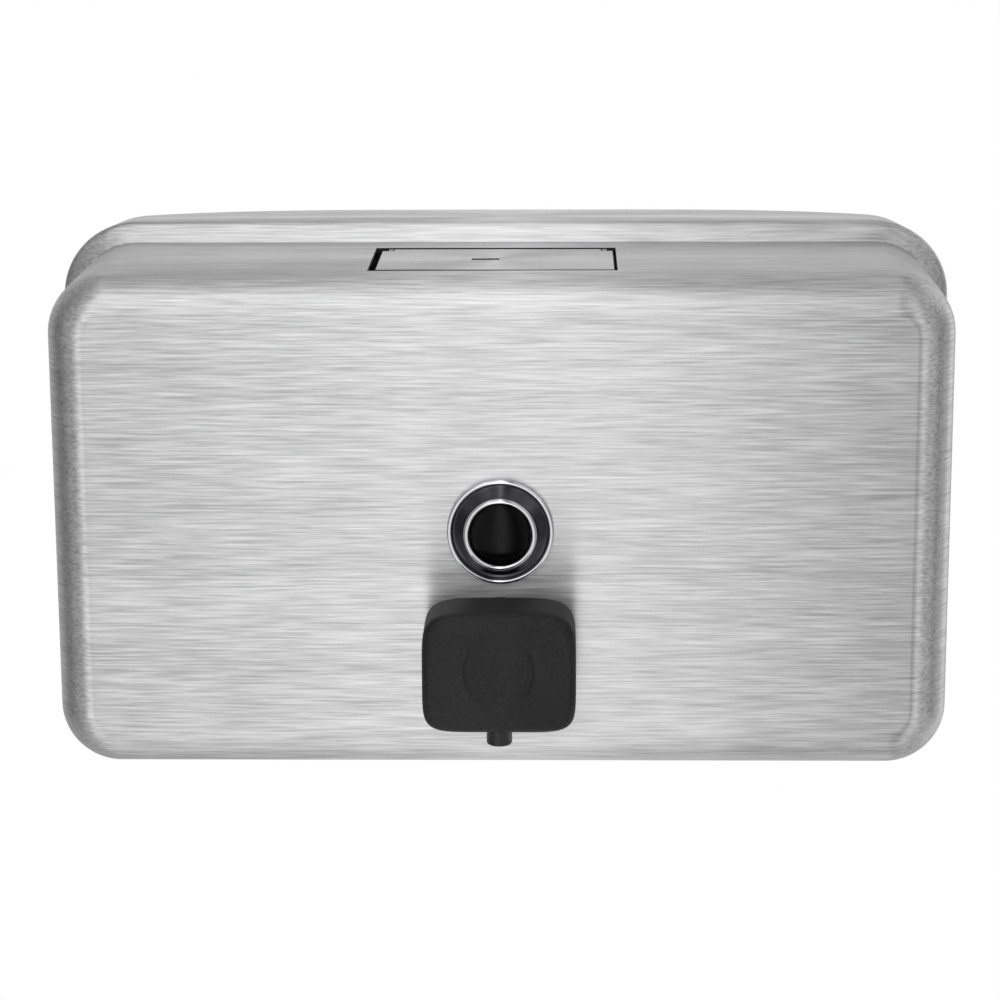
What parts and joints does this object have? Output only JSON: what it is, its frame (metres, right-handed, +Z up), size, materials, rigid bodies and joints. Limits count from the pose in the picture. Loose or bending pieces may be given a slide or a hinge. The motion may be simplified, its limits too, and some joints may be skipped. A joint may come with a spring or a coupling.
{
  "type": "soap dispenser",
  "caption": "Horizontal wall-mounted steel soap dispenser with a hinged locking filler lid, a round refill window, a push button with a spout below, and a concealed wall bracket.",
  "frame": {"origin": "middle of the four wall screws, on the wall plane", "axes": "+X to the right seen from the front, +Y into the wall, so the face looks along -Y, +Z up"},
  "size_m": [0.206, 0.0966, 0.1232],
  "materials": {
    "brushed_case": "horizontally brushed",
    "plain_sheet": "mill finish",
    "turned_steel": "turned",
    "spring_steel": "drawn",
    "bezel_chrome": "polished",
    "clear_lens": "clear",
    "seal_rubber": "matt",
    "natural_plastic": "moulded",
    "valve_plastic": "moulded",
    "button_plastic": "fine moulded texture"
  },
  "bodies": {
    "dispenser": {"front_shell": "brushed_case", "rear_frame": "brushed_case", "tank_back": "plain_sheet", "hanger_rail": "plain_sheet", "wall_bracket": "plain_sheet", "lock_screw": "turned_steel", "lid_hinge_pin": "turned_steel", "lid_hinge_bracket": "plain_sheet", "latch_keeper": "plain_sheet", "window_bezel": "bezel_chrome", "window_lens": "clear_lens", "lens_seal": "seal_rubber", "lens_retainer": "natural_plastic", "window_gasket": "seal_rubber", "window_inner_gasket": "seal_rubber", "window_nut": "natural_plastic", "valve_cylinder": "valve_plastic", "valve_gasket": "seal_rubber", "valve_inner_gasket": "seal_rubber", "valve_nut": "natural_plastic", "rod_wiper": "seal_rubber", "gland_cap": "valve_plastic", "return_spring": "spring_steel", "ball_retainer": "turned_steel", "cylinder_end_cap": "valve_plastic", "pickup_tube": "natural_plastic"},
    "lid": {"filler_lid": "brushed_case", "latch_spring": "spring_steel", "latch_rivets": "turned_steel"},
    "plunger": {"push_button": "button_plastic", "spout": "valve_plastic", "spout_duckbill": "seal_rubber", "piston_rod": "turned_steel", "piston": "natural_plastic", "piston_seal": "seal_rubber"},
    "ball": {"inlet_ball": "turned_steel"}
  },
  "joints": [
    {"name": "lid_hinge", "type": "hinge", "parent": "dispenser", "child": "lid", "pos_m": [-0.0012, -0.0309, 0.0539], "axis": [-1, 0, 0], "range_deg": [0, 95], "deforming": ["latch_spring"]},
    {"name": "button_push", "type": "slide", "parent": "dispenser", "child": "plunger", "axis": [0, 1, 0], "range_m": [0, 0.009], "stiffness_N_per_m": 600, "springref_m": -0.008, "deforming": ["return_spring"]},
    {"name": "ball_lift", "type": "slide", "parent": "dispenser", "child": "ball", "axis": [0, -1, 0], "range_m": [0, 0.0011]}
  ]
}
